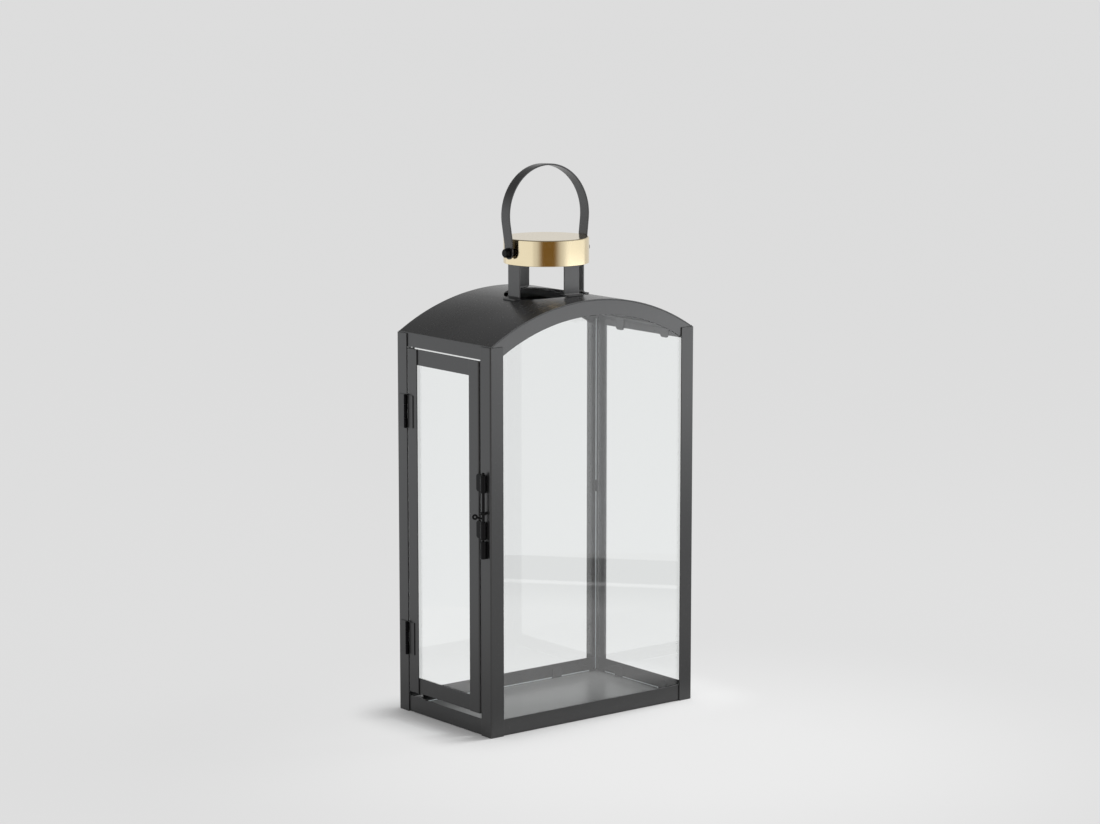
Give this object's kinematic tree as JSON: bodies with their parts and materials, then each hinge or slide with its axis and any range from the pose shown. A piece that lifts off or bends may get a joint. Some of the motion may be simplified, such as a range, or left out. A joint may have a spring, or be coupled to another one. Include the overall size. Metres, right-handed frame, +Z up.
{
  "type": "candle lantern",
  "caption": "Glazed candle lantern of black steel with an arched roof, a hinged side door with a wire bolt, a brass chimney cap and a swinging bail handle",
  "frame": {"origin": "middle of the footprint of the four corner posts, on the surface that the lantern stands on", "axes": "+X to the right along the wide front, +Y from the front to the back, +Z up"},
  "size_m": [0.2736, 0.156, 0.5605],
  "materials": {
    "black_steel": "matt powder coat, near black",
    "bail_steel": "satin powder coat, charcoal",
    "hardware_steel": "satin black",
    "cap_brass": "satin, pale gold",
    "clear_glass": "clear float glass",
    "floor_steel": "matt dark grey"
  },
  "bodies": {
    "frame": {"post_front_left": "black_steel", "post_front_right": "black_steel", "post_back_left": "black_steel", "post_back_right": "black_steel", "bottom_rail_front": "black_steel", "bottom_rail_back": "black_steel", "bottom_rail_left": "black_steel", "bottom_rail_right": "black_steel", "top_rail_left": "black_steel", "top_rail_right": "black_steel", "arch_front": "black_steel", "arch_back": "black_steel", "roof_sheet": "black_steel", "glass_clips_front": "black_steel", "glass_clips_back": "black_steel", "glass_clips_right": "black_steel", "chimney_leg_front": "black_steel", "chimney_leg_back": "black_steel", "chimney_leg_left": "black_steel", "chimney_leg_right": "black_steel", "door_stop": "black_steel", "pivot_screws": "hardware_steel", "pivot_lock_nuts": "hardware_steel", "pivot_washers": "hardware_steel", "pivot_spacers": "hardware_steel", "cap_nuts": "hardware_steel", "hinge_upper_post_leaf": "hardware_steel", "hinge_upper_pin": "hardware_steel", "hinge_lower_post_leaf": "hardware_steel", "hinge_lower_pin": "hardware_steel", "latch_keeper": "hardware_steel", "cap": "cap_brass", "glass_front": "clear_glass", "glass_back": "clear_glass", "glass_right": "clear_glass", "floor_plate": "floor_steel"},
    "door": {"door_stile_hinge": "black_steel", "door_stile_latch": "black_steel", "door_rail_top": "black_steel", "door_rail_bottom": "black_steel", "door_glass": "clear_glass", "door_glass_clips": "black_steel", "hinge_upper_door_leaf": "hardware_steel", "hinge_lower_door_leaf": "hardware_steel", "latch_sleeve_upper": "hardware_steel", "latch_sleeve_lower": "hardware_steel"},
    "bolt": {"latch_bolt": "hardware_steel"},
    "bail": {"bail_strap": "bail_steel"}
  },
  "joints": [
    {"name": "door_hinge", "type": "hinge", "parent": "frame", "child": "door", "pos_m": [-0.133, 0.0613, 0.1953], "axis": [0, 0, -1], "range_deg": [0, 170]},
    {"name": "bolt_slide", "type": "slide", "parent": "door", "child": "bolt", "axis": [0, 0, 1], "range_m": [-0.0024, 0.016]},
    {"name": "bail_swing", "type": "hinge", "parent": "frame", "child": "bail", "pos_m": [0, 0, 0.47275], "axis": [1, 0, 0], "range_deg": [-110, 114]}
  ]
}
